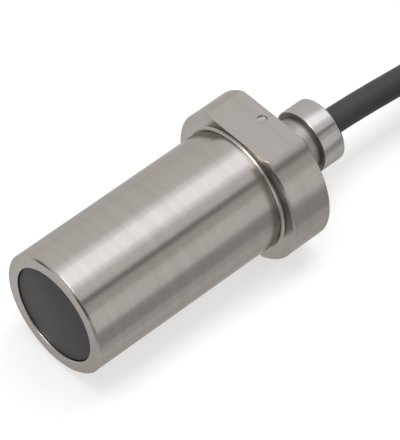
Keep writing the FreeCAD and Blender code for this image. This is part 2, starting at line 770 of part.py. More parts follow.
for colour in CORE_ANGLES:
    side, up = core_place(colour)
    target = BOARD_SIDES[colour]
    tube("inner_wire_" + colour, [
        Vector(INNER_STATIONS[0], side, up),
        Vector(INNER_STATIONS[1], side, up),
        Vector(INNER_STATIONS[2], target, BOARD_WIRE),
        Vector(INNER_STATIONS[3], target, BOARD_WIRE),
    ], "wire_dia")

WIRE_EXIT = JOINED_AT + TAIL_ANGLE
WIRE_STRAIGHT = 8.0
WIRE_DROP = 22.0
WIRE_DOWN = 41.0
DROP_SHARE = 0.6
LYING_WIRE = value(COIL_HIGH + " + wire_dia / 2")

for colour, fan in END_FANS.items():
    side, up = core_place(colour)
    straight = 1 / math.cos(math.radians(WIRE_STRAIGHT))
    half_down = (TAIL_HEIGHT + up) * (1 - DROP_SHARE) + LYING_WIRE * DROP_SHARE
    places = [
        turn_point(WIRE_EXIT, TAIL_TURN + side, TAIL_HEIGHT + up),
        turn_point(WIRE_EXIT + WIRE_STRAIGHT, (TAIL_TURN + side) * straight, TAIL_HEIGHT + up),
        turn_point(WIRE_EXIT + WIRE_DROP, TAIL_TURN + (side + fan) / 2, half_down),
        turn_point(WIRE_EXIT + WIRE_DOWN, TAIL_TURN + fan, LYING_WIRE),
        turn_point(WIRE_EXIT + END_TURNS[colour], TAIL_TURN + fan, LYING_WIRE),
    ]
    tube("end_wire_" + colour, places, "wire_dia")
    away = (places[-1] - places[-2]).normalize()
    ferrule = doc.addObject("Part::Cylinder", "ferrule_" + colour)
    ferrule.setExpression("Radius", bound("ferrule_dia / 2"))
    ferrule.setExpression("Height", bound("ferrule_length"))
    lift = Vector(0, 0, value("ferrule_dia / 2 - wire_dia / 2"))
    ferrule.Placement = Placement(places[-1] + lift, Rotation(Vector(0, 0, 1), away))
    ferrules.append(ferrule)
grouped("wire_ferrules", ferrules)

# Resin: poured in last, so it is the sensor's hollow less everything that stands in it.

resin_space = doc.addObject("PartDesign::Body", "resin_space")
spin(resin_space, draw(resin_space, "section", "XY_Plane", [
    ("cap_floor", "0"),
    ("cap_floor", "core_dia / 2"),
    ("cap_thick_end", "core_dia / 2"),
    ("cap_thick_end", "shield_dia / 2"),
    ("cap_end", "shield_dia / 2"),
    ("cap_end", "barrel_bore / 2"),
    ("spigot_start", "barrel_bore / 2"),
    ("spigot_start", "head_cavity_dia / 2"),
    ("head_cavity_end", "head_cavity_dia / 2"),
    ("head_cavity_end", "0"),
]))
POTTED = (
    "pot_core", "coil_bobbin", "coil_winding", "shield_ring", "core_carrier", "circuit_board",
    "oscillator_chip", "output_transistor", "tantalum_capacitor", "chip_capacitors",
    "chip_resistors", "protection_diodes", "coil_leads", "inner_wire_brown", "inner_wire_blue",
    "inner_wire_black", "jacket_end",
)
by_label = {piece.Label: piece for piece in pieces}
doc.recompute()
potted_shapes = [by_label[name].Shape for name in POTTED]
poured = resin_space.Shape.cut(potted_shapes)
resin_fill = doc.addObject("Part::Feature", "resin_fill")
resin_fill.Shape = poured
keep(resin_fill, "resin_fill")

doc.recompute()
os.makedirs("parts", exist_ok=True)
for thing in doc.Objects:
    if "Invalid" in thing.State or "Error" in thing.State:
        raise ValueError("%s failed: %s" % (thing.Name, thing.State))
for piece in pieces:
    if piece.Shape.isNull() or not piece.Shape.isValid():
        raise ValueError("%s has no valid shape" % piece.Label)
for piece in pieces:
    piece.Shape.exportStep("parts/%s.step" % piece.Label)
    print("%s: %d solids, %.2f mm3" % (piece.Label, len(piece.Shape.Solids), piece.Shape.Volume))
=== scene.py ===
import math

import bpy
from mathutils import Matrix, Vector


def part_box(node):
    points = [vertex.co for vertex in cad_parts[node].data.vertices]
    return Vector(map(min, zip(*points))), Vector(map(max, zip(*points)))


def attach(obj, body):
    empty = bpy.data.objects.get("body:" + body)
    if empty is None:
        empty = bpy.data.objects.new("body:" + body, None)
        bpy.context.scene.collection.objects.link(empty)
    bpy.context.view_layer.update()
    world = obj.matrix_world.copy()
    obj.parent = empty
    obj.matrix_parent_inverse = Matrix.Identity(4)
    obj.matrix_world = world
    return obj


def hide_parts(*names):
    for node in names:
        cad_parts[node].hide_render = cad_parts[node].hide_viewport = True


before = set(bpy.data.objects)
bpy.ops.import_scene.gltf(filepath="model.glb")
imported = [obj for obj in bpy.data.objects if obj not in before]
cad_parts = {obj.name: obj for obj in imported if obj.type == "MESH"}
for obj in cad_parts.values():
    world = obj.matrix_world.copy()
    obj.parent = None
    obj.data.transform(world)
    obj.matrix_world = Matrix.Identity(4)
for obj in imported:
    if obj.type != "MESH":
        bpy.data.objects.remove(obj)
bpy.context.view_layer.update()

# Camera and studio. The sensor lies on a pale floor and is looked at from in front and above,
# with a long lens. One wide soft lamp hangs over it. Bright panels and grey cards, seen only in
# the metal, draw the highlight and the dark lines along it.
MM = 0.001

LENS = 325.3
SENSOR = 36.0
CAMERA_PLACE = Vector((-0.31737, -0.38872, 0.61634))
LOOKING_ALONG = Vector((0.43928, 0.47800, -0.76063))

camera_data = bpy.data.cameras.new("camera")
camera_data.lens = LENS
camera_data.sensor_width = SENSOR
camera_data.clip_start = 0.01
camera_data.clip_end = 20.0
camera = bpy.data.objects.new("camera", camera_data)
camera.location = CAMERA_PLACE
camera.rotation_mode = "QUATERNION"
camera.rotation_quaternion = LOOKING_ALONG.to_track_quat("-Z", "Y")
bpy.context.scene.collection.objects.link(camera)
bpy.context.scene.camera = camera
bpy.context.scene.view_settings.view_transform = "Standard"


def new_material(name):
    """A material with its Principled shader, and the tools to wire it."""
    material = bpy.data.materials.new(name)
    material.use_nodes = True
    nodes = material.node_tree.nodes
    return material, nodes, material.node_tree.links, nodes["Principled BSDF"]


def node(nodes, kind, settings=(), **values):
    """A node with its settings, and its unlinked inputs by name."""
    made = nodes.new(kind)
    for key, setting in dict(settings).items():
        setattr(made, key, setting)
    for key, number in values.items():
        made.inputs[key.replace("_", " ")].default_value = number
    return made


def seen_in_mirror(nodes, links):
    """1 for the camera and for what shines or shows through, 0 for the light on the floor."""
    path = node(nodes, "ShaderNodeLightPath")
    either = node(nodes, "ShaderNodeMath", {"operation": "MAXIMUM"})
    links.new(path.outputs["Is Camera Ray"], either.inputs[0])
    links.new(path.outputs["Is Glossy Ray"], either.inputs[1])
    every = node(nodes, "ShaderNodeMath", {"operation": "MAXIMUM"})
    links.new(either.outputs[0], every.inputs[0])
    links.new(path.outputs["Is Transmission Ray"], every.inputs[1])
    return every.outputs[0]


FLOOR_TONE = 0.50
FLOOR_GLOW = 0.56
ROOM_LIGHT = 0.62
BACKDROP = 1.0

floor_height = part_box("sensor_head")[0].z - 0.03 * MM
bpy.ops.object.select_all(action="DESELECT")
bpy.ops.mesh.primitive_plane_add(size=12.0, location=(0, 0, floor_height))
floor = bpy.context.object
floor.name = "floor"
bpy.ops.object.transform_apply(location=True)
material, nodes, links, shader = new_material("pale_floor")
shader.inputs["Base Color"].default_value = (FLOOR_TONE, FLOOR_TONE, FLOOR_TONE, 1)
shader.inputs["Roughness"].default_value = 1.0
shader.inputs["Specular IOR Level"].default_value = 0.0
shader.inputs["Emission Color"].default_value = (1, 1, 1, 1)
glow = node(nodes, "ShaderNodeMath", {"operation": "MULTIPLY"})
glow.inputs[1].default_value = FLOOR_GLOW
links.new(seen_in_mirror(nodes, links), glow.inputs[0])
links.new(glow.outputs[0], shader.inputs["Emission Strength"])
floor.data.materials.append(material)

world = bpy.data.worlds.new("studio")
bpy.context.scene.world = world
world.use_nodes = True
nodes = world.node_tree.nodes
links = world.node_tree.links
room = nodes["Background"]
strength = node(nodes, "ShaderNodeMapRange")
strength.inputs["To Min"].default_value = ROOM_LIGHT
strength.inputs["To Max"].default_value = BACKDROP
links.new(seen_in_mirror(nodes, links), strength.inputs["Value"])
links.new(strength.outputs["Result"], room.inputs["Strength"])
room.inputs["Color"].default_value = (1, 1, 1, 1)

SOFTBOX_HEIGHT = 0.70
SOFTBOX_LENGTH = 1.30
SOFTBOX_WIDTH = 0.30
SOFTBOX_POWER = 4.2
SOFTBOX_PLACE = (0.34, 0.02, SOFTBOX_HEIGHT)
softbox_data = bpy.data.lights.new("softbox", "AREA")
softbox_data.shape = "RECTANGLE"
softbox_data.size = SOFTBOX_LENGTH
softbox_data.size_y = SOFTBOX_WIDTH
softbox_data.energy = SOFTBOX_POWER
softbox_data.color = (0.97, 1.0, 1.05)
softbox = bpy.data.objects.new("softbox", softbox_data)
softbox.location = SOFTBOX_PLACE
softbox.visible_glossy = False
bpy.context.scene.collection.objects.link(softbox)


def studio_card(name, middle, length, width, turned, tone):
    """A card or panel near the object, seen only in the metal, tilted about X and Y."""
    bpy.ops.object.select_all(action="DESELECT")
    bpy.ops.mesh.primitive_plane_add(size=1.0, location=middle, rotation=(*turned, 0))
    card = bpy.context.object
    card.name = name
    card.scale = (length, width, 1)
    bpy.ops.object.transform_apply(location=True, rotation=True, scale=True)
    card_material, *_, card_shader = new_material(name + "_cloth")
    card_shader.inputs["Base Color"].default_value = (0, 0, 0, 1)
    card_shader.inputs["Roughness"].default_value = 1.0
    card_shader.inputs["Specular IOR Level"].default_value = 0.0
    card_shader.inputs["Emission Color"].default_value = (*tone, 1)
    card_shader.inputs["Emission Strength"].default_value = 1.0
    card.data.materials.append(card_material)
    card.visible_camera = False
    card.visible_diffuse = False
    card.visible_transmission = False
    card.visible_shadow = False


# Panels overhead, level: each one's middle, length, width and tone
PANELS = {
    "bright_panel": ((0.20, 0.040, 0.70), 1.7, 0.36, (1.93, 2.00, 2.10)),
    "soft_panel": ((0.20, 0.060, 0.72), 1.7, 0.62, (1.38, 1.40, 1.47)),
    "front_panel": ((-0.32, -0.06, 0.69), 0.26, 0.40, (13.0, 12.5, 12.0)),
}
for name, (middle, length, width, tone) in PANELS.items():
    studio_card(name, middle, length, width, (0, 0), tone)

# Cards hung beside the sensor: each one's angle round the axis from straight up to the viewer, in
# degrees, then its distance, width and tone
HANGING_MIDDLE = 0.27
HANGING_LENGTH = 1.2
HANGING_CARDS = {
    "upper_card": (43, 0.55, 0.090, (0.24, 0.24, 0.24)),
    "upper_shade": (56, 0.58, 0.184, (0.70, 0.70, 0.68)),
}
for name, (degrees, away, width, tone) in HANGING_CARDS.items():
    angle = math.radians(degrees)
    middle = (HANGING_MIDDLE, -away * math.sin(angle), away * math.cos(angle))
    studio_card(name, middle, HANGING_LENGTH, width, (angle, 0), tone)

# Dark cards that stand upright past the sensing end: each one's place across and its width
DARK_AWAY = -0.90
DARK_MIDDLE = 0.2225
DARK_HEIGHT = 0.475
DARK_TONE = (0.10, 0.10, 0.10)
for name, across, width in (("dark_end", -0.42, 0.65), ("dark_corner", 0.98, 0.80)):
    middle = (DARK_AWAY, across, DARK_MIDDLE)
    studio_card(name, middle, DARK_HEIGHT, width, (0, math.pi / 2), DARK_TONE)

# Cards on the floor in front: each one's place across, lift from the floor, width and tone
LOW_MIDDLE = 0.10
LOW_LENGTH = 1.0
LOW_CARDS = {
    "lower_card": (-0.0695, 0.6 * MM, 0.071, (0.49, 0.49, 0.50)),
    "lower_shade": (-0.112, 0.3 * MM, 0.176, (0.71, 0.71, 0.72)),
    "lower_edge": (-0.1005, 0.15 * MM, 0.199, (0.86, 0.86, 0.86)),
}
for name, (across, lift, width, tone) in LOW_CARDS.items():
    studio_card(name, (LOW_MIDDLE, across, floor_height + lift), LOW_LENGTH, width, (0, 0), tone)

# Cable: a round three-core lead in a dark matt jacket. It leaves the clamp cap, sags a little and
# is wound into a neat coil, two turns side by side and five on each other, with its end on top.
CABLE = 6.0 * MM
CABLE_EXIT = Vector((0.074, 0, 0))
RUN_POINTS = (
    CABLE_EXIT,
    (0.081, -0.00012, -0.00022),
    (0.088, -0.00035, -0.00062),
    (0.094, -0.0006, -0.00105),
    (0.100, -0.00085, -0.0015),
    (0.106, -0.0003, -0.0016),
    (0.112, 0.0015, -0.0010),
    (0.1185, 0.0048, 0.0001),
    (0.1249, 0.0083, 0.0006),
)
COIL_STEP = 22.5
COIL_START = -18.0
COIL_POINTS = 150
INNER_TURN = 27.5 * MM
OUTER_TURN = 33.5 * MM
MIDDLE_TURN = (INNER_TURN + OUTER_TURN) / 2
TIE_THICK = 0.6 * MM
# Each turn's place in the coil, as its radius and the layers below it, in the order of winding
TURN_PLACES = (
    (OUTER_TURN, 2), (OUTER_TURN, 1), (OUTER_TURN, 0), (INNER_TURN, 0), (INNER_TURN, 1),
    (INNER_TURN, 2), (INNER_TURN, 3), (OUTER_TURN, 3), (OUTER_TURN, 4), (INNER_TURN, 4),
    (MIDDLE_TURN, 5),
)
# A turn moves to its next place over this much of the circle, a little earlier each time round.
CHANGE = 100.0
FIRST_CHANGE = 247.0
CHANGE_EVERY = 327.0
# A smooth line passes inside its points, so the coil's points stand this much further out.
OUTSET = 1 / (0.75 + 0.25 * math.cos(math.radians(COIL_STEP)))

coil_low, coil_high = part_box("cable_coil")
coil_middle = (coil_low + coil_high) / 2
lowest_turn = coil_low.z + TIE_THICK + CABLE / 2


def over_coil(turned, radius, height):
    """A point over the coil, turned so many degrees clockwise from its +Y side."""
    angle = math.radians(90 - turned)
    return Vector((coil_middle.x + radius * math.cos(angle),
                   coil_middle.y + radius * math.sin(angle), height))


def turn_place(turned):
    """The radius and height of the cable so many degrees into the coil."""
    count = (turned - FIRST_CHANGE) / CHANGE_EVERY
    index = min(max(round(count), 0), len(TURN_PLACES) - 2)
    share = min(max((count - index) * CHANGE_EVERY / CHANGE + 0.5, 0), 1)
    moved = share * share * (3 - 2 * share)
    (radius, layer), (next_radius, next_layer) = TURN_PLACES[index], TURN_PLACES[index + 1]
    return (radius + (next_radius - radius) * moved,
            lowest_turn + CABLE * (layer + (next_layer - layer) * moved))


coil_points = []
for index in range(COIL_POINTS):
    turned = COIL_START + COIL_STEP * (index + 0.5)
    radius, height = turn_place(turned)
    coil_points.append(over_coil(turned, radius * OUTSET, height))
coil_end = COIL_START + COIL_STEP * COIL_POINTS
cable_end = over_coil(coil_end, *turn_place(coil_end))


def smooth_line(name, points, diameter, sides):
    """A round cord along one smooth spline."""
    curve = bpy.data.curves.new(name, "CURVE")
    curve.dimensions = "3D"
    curve.resolution_u = 6
    curve.bevel_depth = 1.0
    curve.bevel_resolution = sides
    curve.use_fill_caps = True
    spline = curve.splines.new("NURBS")
    spline.points.add(len(points) - 1)
    for point, place in zip(spline.points, points):
        point.co = (*place, 1)
        point.radius = diameter / 2
    spline.order_u = 3
    spline.use_endpoint_u = True
    spline.use_smooth = True
    cord = bpy.data.objects.new(name, curve)
    bpy.context.scene.collection.objects.link(cord)
    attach(cord, "root")
    return cord


cable = smooth_line("cable", [*RUN_POINTS, *coil_points, cable_end], CABLE, 6)
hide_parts("cable_run", "cable_coil", "cable_tail")

# How fine the clouds are, as a share of the grain
CLOUD_SHARE = 0.06


def fine_grain():
    """A node group: the pebbled grain of moulded and extruded plastic, from 0 to 1."""
    group = bpy.data.node_groups.new("fine_grain", "ShaderNodeTree")
    group.interface.new_socket("Grains per metre", in_out="INPUT", socket_type="NodeSocketFloat")
    group.interface.new_socket("Grain", in_out="OUTPUT", socket_type="NodeSocketFloat")
    group.interface.new_socket("Cloud", in_out="OUTPUT", socket_type="NodeSocketFloat")
    inside = group.nodes
    start = node(inside, "NodeGroupInput")
    end = node(inside, "NodeGroupOutput")
    place = node(inside, "ShaderNodeTexCoord")
    grain = node(inside, "ShaderNodeTexNoise", Detail=3.0, Roughness=0.6)
    cloud = node(inside, "ShaderNodeTexNoise", Detail=4.0, Roughness=0.55)
    coarser = node(inside, "ShaderNodeMath", {"operation": "MULTIPLY"})
    coarser.inputs[1].default_value = CLOUD_SHARE
    inner_links = group.links
    inner_links.new(place.outputs["Object"], grain.inputs["Vector"])
    inner_links.new(place.outputs["Object"], cloud.inputs["Vector"])
    inner_links.new(start.outputs["Grains per metre"], grain.inputs["Scale"])
    inner_links.new(start.outputs["Grains per metre"], coarser.inputs[0])
    inner_links.new(coarser.outputs[0], cloud.inputs["Scale"])
    inner_links.new(grain.outputs["Fac"], end.inputs["Grain"])
    inner_links.new(cloud.outputs["Fac"], end.inputs["Cloud"])
    return group


GRAIN = fine_grain()
# The masks' noise lies mostly between these two.
MASK_LOW = 0.3
MASK_HIGH = 0.7
PLASTIC_SPREAD = 0.06
GRAIN_STRENGTH = 0.6


def shade_by(nodes, links, value, shader_input, low, high):
    """Moves a shader's value between two limits by a mask."""
    span = node(nodes, "ShaderNodeMapRange")
    span.inputs["From Min"].default_value = MASK_LOW
    span.inputs["From Max"].default_value = MASK_HIGH
    span.inputs["To Min"].default_value = low
    span.inputs["To Max"].default_value = high
    links.new(value, span.inputs["Value"])
    links.new(span.outputs["Result"], shader_input)


def tint_by(nodes, links, value, shader_input, dark, light):
    """Mixes two colours by a mask."""
    mix = node(nodes, "ShaderNodeMix", {"data_type": "RGBA"})
    mix.inputs["A"].default_value = (*dark, 1)
    mix.inputs["B"].default_value = (*light, 1)
    span = node(nodes, "ShaderNodeMapRange")
    span.inputs["From Min"].default_value = MASK_LOW
    span.inputs["From Max"].default_value = MASK_HIGH
    links.new(value, span.inputs["Value"])
    links.new(span.outputs["Result"], mix.inputs["Factor"])
    links.new(mix.outputs["Result"], shader_input)


def raise_by(nodes, links, value, shader, depth, strength):
    """Raises the surface by a mask, to a depth in metres."""
    bump = node(nodes, "ShaderNodeBump", Strength=strength, Distance=depth)
    links.new(value, bump.inputs["Height"])
    links.new(bump.outputs["Normal"], shader.inputs["Normal"])


def plastic(name, dark, light, roughness, grains, depth, gloss=0.5):
    """A moulded or extruded plastic or rubber with its grain."""
    material, nodes, links, shader = new_material(name)
    shader.inputs["Specular IOR Level"].default_value = gloss
    grain = node(nodes, "ShaderNodeGroup")
    grain.node_tree = GRAIN
    grain.inputs["Grains per metre"].default_value = grains
    tint_by(nodes, links, grain.outputs["Cloud"], shader.inputs["Base Color"], dark, light)
    shade_by(nodes, links, grain.outputs["Grain"], shader.inputs["Roughness"],
             roughness - PLASTIC_SPREAD, roughness + PLASTIC_SPREAD)
    raise_by(nodes, links, grain.outputs["Grain"], shader, depth, GRAIN_STRENGTH)
    return material


def dress(material, *names):
    """Gives nodes of the frame their material."""
    for name in names:
        node_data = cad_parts[name].data
        node_data.materials.clear()
        node_data.materials.append(material)


jacket = plastic("jacket_plastic", (0.024, 0.023, 0.024), (0.030, 0.029, 0.030), 0.60, 5200,
                 0.02 * MM, 0.4)
cable.data.materials.append(jacket)
dress(jacket, "jacket_end")

# Tie: a moulded strap drawn round the coil's ten turns, with its locking head on top. It is cut
# off short behind the head.
STRAP_WIDTH = 5.0 * MM
STRAP_WALL = 0.8 * TIE_THICK
STRAP_TURNED = 252.0
LOCK_PLACE = 0.6 * MM
LOCK_LENGTH = 5.2 * MM
LOCK_WIDTH = 5.4 * MM
LOCK_HEIGHT = 3.0 * MM
STUB_PLACE = 4.4 * MM
STUB_LENGTH = 3.6 * MM
STUB_RISE = 0.9 * MM
STUB_THICK = 0.8 * MM
TINY = 0.001 * MM


def begin(name):
    """Names the primitive that was just added, and puts its place into its mesh."""
    piece = bpy.context.object
    piece.name = name
    bpy.ops.object.transform_apply(location=True, rotation=True, scale=True)
    return piece


def pick(piece, chosen):
    """In edit mode, selects the vertices whose place passes a test, and nothing else."""
    bpy.ops.mesh.select_all(action="DESELECT")
    bpy.ops.object.mode_set(mode="OBJECT")
    for vertex in piece.data.vertices:
        vertex.select = chosen(vertex.co)
    bpy.ops.object.mode_set(mode="EDIT")


def round_edges(piece, width, segments=3, angle=30, smooth=30):
    """Breaks the sharp edges of a finished mesh and smooths what is left."""
    bevel = piece.modifiers.new("edges", "BEVEL")
    bevel.width = width
    bevel.segments = segments
    bevel.limit_method = "ANGLE"
    bevel.angle_limit = math.radians(angle)
    bpy.ops.object.modifier_apply(modifier="edges")
    bpy.ops.object.shade_smooth_by_angle(angle=math.radians(smooth))


bpy.ops.object.select_all(action="DESELECT")
bpy.ops.mesh.primitive_circle_add(vertices=32, radius=CABLE / 2, rotation=(math.pi / 2, 0, 0))
strap = begin("coil_tie_strap")
bpy.ops.object.mode_set(mode="EDIT")
pick(strap, lambda place: place.x > TINY)
bpy.ops.transform.translate(value=(CABLE, 0, 0))
pick(strap, lambda place: place.z > TINY)
bpy.ops.transform.translate(value=(0, 0, 4 * CABLE))
bpy.ops.mesh.select_all(action="SELECT")
bpy.ops.transform.translate(value=(-CABLE / 2, -STRAP_WIDTH / 2, 0))
bpy.ops.mesh.extrude_region_move(TRANSFORM_OT_translate={"value": (0, STRAP_WIDTH, 0)})
bpy.ops.mesh.select_all(action="SELECT")
bpy.ops.mesh.normals_make_consistent(inside=False)
bpy.ops.object.mode_set(mode="OBJECT")
wall = strap.modifiers.new("wall", "SOLIDIFY")
wall.thickness = STRAP_WALL
wall.offset = 1.0
bpy.ops.object.modifier_apply(modifier="wall")
round_edges(strap, 0.15 * MM)

strap_top = 4 * CABLE + CABLE / 2
bpy.ops.object.select_all(action="DESELECT")
bpy.ops.mesh.primitive_cube_add(
    size=1, location=(LOCK_PLACE, 0, strap_top + LOCK_HEIGHT / 2),
    scale=(LOCK_LENGTH, LOCK_WIDTH, LOCK_HEIGHT))
tie_head = begin("tie_head")
bpy.ops.object.mode_set(mode="EDIT")
pick(tie_head, lambda place: place.z > strap_top + LOCK_HEIGHT / 2)
bpy.ops.transform.resize(value=(0.72, 0.86, 1), center_override=(LOCK_PLACE, 0, 0))
bpy.ops.mesh.inset(thickness=0.7 * MM, depth=-0.5 * MM)
bpy.ops.object.mode_set(mode="OBJECT")
round_edges(tie_head, 0.3 * MM)
bpy.ops.object.select_all(action="DESELECT")
bpy.ops.mesh.primitive_cube_add(
    size=1, location=(STUB_PLACE, 0, strap_top + STUB_RISE),
    scale=(STUB_LENGTH, STRAP_WIDTH, STUB_THICK))
tie_stub = begin("tie_stub")
round_edges(tie_stub, 0.2 * MM)
for part in (tie_head, tie_stub, strap):
    part.select_set(True)
bpy.context.view_layer.objects.active = strap
bpy.ops.object.join()
strap.rotation_euler = (0, 0, math.radians(90 - STRAP_TURNED))
strap.location = over_coil(STRAP_TURNED, MIDDLE_TURN, lowest_turn)
bpy.ops.object.transform_apply(location=True, rotation=True, scale=True)
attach(strap, "root")
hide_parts("coil_tie")
strap.data.materials.append(
    plastic("strap_plastic", (0.020, 0.020, 0.021), (0.030, 0.030, 0.031), 0.42, 3000, 0.01 * MM))

# End wires: the brown, blue and black cores, stripped out of the cable's far end and laid on the
# coil, each with a crimped ferrule.
WIRE = 1.3 * MM
WIRE_PITCH = 1.35 * MM
FERRULE_LENGTH = 8.0 * MM
FERRULE = 1.5 * MM
FERRULE_INSIDE = 0.3 * MM
# The ferrule's width from its wire end to its tip, as shares: pinched by the crimping tool
CRIMPS = (1.0, 0.86, 1.0, 0.86, 1.0, 0.86, 1.0, 0.8)
CRIMP_STEP = FERRULE_LENGTH / len(CRIMPS)
WIRE_EXIT_TURN = 117.0
# A wire's way over the coil: degrees past where it comes out, then the share that it keeps of its
# place in the cable, the share of its fan, and the share that it keeps of its height
WIRE_WAY = ((-4, 1, 0, 1), (8, 1, 0, 1), (22, 0.5, 0.5, 0.4), (36, 0, 0.9, 0), (50, 0, 1, 0))
# Each wire: its place in the cable in degrees, how far it fans out, its end, its height and colour
END_WIRES = {
    "brown": (90, -0.3, 64.0, 15.45, (0.110, 0.043, 0.018), (0.135, 0.055, 0.024)),
    "blue": (210, -2.7, 60.0, 16.35, (0.014, 0.070, 0.270), (0.020, 0.090, 0.330)),
    "black": (330, 2.1, 62.0, 16.35, (0.014, 0.014, 0.014), (0.022, 0.022, 0.022)),
}

core_colours = {}
wires = []
for colour, (angle, fan, last, lying, dark, light) in END_WIRES.items():
    core_colours[colour] = plastic("core_" + colour, dark, light, 0.38, 6000, 0.004 * MM)
    side = WIRE_PITCH * math.cos(math.radians(angle))
    up = cable_end.z + WIRE_PITCH * math.sin(math.radians(angle))
    fan *= MM
    lying *= MM
    points = [over_coil(WIRE_EXIT_TURN + past, MIDDLE_TURN + side * kept + fan * fanned,
                        up * high + lying * (1 - high))
              for past, kept, fanned, high in (*WIRE_WAY, (last, 0, 1, 0))]
    wire = smooth_line("end_wire_%s_core" % colour, points, WIRE, 4)
    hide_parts("end_wire_" + colour)
    wire.data.materials.append(core_colours[colour])
    wires.append((wire, points))


def tin():
    """Tinned, crimped sheet: bright, with soft pressing marks."""
    material, nodes, links, shader = new_material("tinned_ferrule")
    shader.inputs["Metallic"].default_value = 1.0
    cloud = node(nodes, "ShaderNodeGroup")
    cloud.node_tree = GRAIN
    cloud.inputs["Grains per metre"].default_value = 9000
    tint_by(nodes, links, cloud.outputs["Cloud"], shader.inputs["Base Color"],
            (0.46, 0.46, 0.45), (0.54, 0.54, 0.53))
    shade_by(nodes, links, cloud.outputs["Grain"], shader.inputs["Roughness"], 0.38, 0.50)
    raise_by(nodes, links, cloud.outputs["Grain"], shader, 0.006 * MM, 0.5)
    return material


ferrule_pieces = []
for wire, points in wires:
    place = points[-1]
    direction = place - points[-2]
    bpy.ops.object.select_all(action="DESELECT")
    bpy.ops.mesh.primitive_cylinder_add(
        vertices=24, radius=FERRULE / 2, depth=CRIMP_STEP,
        location=(CRIMP_STEP / 2, 0, 0), rotation=(0, math.pi / 2, 0))
    ferrule = begin("crimped_ferrules")
    bpy.ops.object.mode_set(mode="EDIT")
    pick(ferrule, lambda corner: corner.x > CRIMP_STEP / 2)
    for before, pinch in zip(CRIMPS, CRIMPS[1:]):
        bpy.ops.mesh.extrude_region_move(TRANSFORM_OT_translate={"value": (CRIMP_STEP, 0, 0)})
        bpy.ops.transform.resize(value=(1, 1, pinch / before), center_override=(0, 0, 0))
    bpy.ops.mesh.select_all(action="SELECT")
    bpy.ops.mesh.normals_make_consistent(inside=False)
    bpy.ops.object.mode_set(mode="OBJECT")
    round_edges(ferrule, 0.06 * MM)
    ferrule.rotation_mode = "QUATERNION"
    ferrule.rotation_quaternion = direction.to_track_quat("X", "Z")
    ferrule.location = place - direction.normalized() * FERRULE_INSIDE
    bpy.ops.object.transform_apply(location=True, rotation=True, scale=True)
    ferrule_pieces.append(ferrule)
bpy.ops.object.select_all(action="DESELECT")
for ferrule in ferrule_pieces:
    ferrule.select_set(True)
ferrules = ferrule_pieces[0]
bpy.context.view_layer.objects.active = ferrules
bpy.ops.object.join()
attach(ferrules, "root")
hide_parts("wire_ferrules")
ferrules.data.materials.append(tin())

# Barrel sleeve: a stainless tube turned in one piece, with a thick lip at the sensing end that
# holds the black cap. Its surface is finely turned and shines along its length.
TURNING_SIDES = 192
BARREL_END = 49
BARREL_RADIUS = 14
BARREL_BORE = 12.5
FACE_RADIUS = 11


def turned(name, corners, edge, open_ends=False):
    """A turned piece from its half section, given as stations along the axis and radii in mm.

    The sharp edges are broken by so many mm. With open ends, the section starts and stops near
    the axis, and both holes are closed.
    """
    bpy.ops.object.select_all(action="DESELECT")
    along, radius = corners[0]
    bpy.ops.mesh.primitive_circle_add(
        vertices=TURNING_SIDES, radius=radius * MM, location=(along * MM, 0, 0),
        rotation=(0, math.pi / 2, 0))
    piece = begin(name)
    bpy.ops.object.mode_set(mode="EDIT")
    bpy.ops.mesh.select_all(action="SELECT")
    route = list(corners[1:]) if open_ends else [*corners[1:], corners[0]]
    for next_along, next_radius in route:
        bpy.ops.mesh.extrude_region_move(
            TRANSFORM_OT_translate={"value": ((next_along - along) * MM, 0, 0)})
        bpy.ops.transform.resize(value=(1, next_radius / radius, next_radius / radius),
                                 center_override=(next_along * MM, 0, 0))
        along, radius = next_along, next_radius
    bpy.ops.mesh.select_all(action="SELECT")
    bpy.ops.mesh.remove_doubles(threshold=TINY)
    if open_ends:
        bpy.ops.mesh.fill_holes(sides=0)
    bpy.ops.mesh.normals_make_consistent(inside=False)
    bpy.ops.object.mode_set(mode="OBJECT")
    if edge:
        round_edges(piece, edge * MM)
    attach(piece, "root")
    return piece


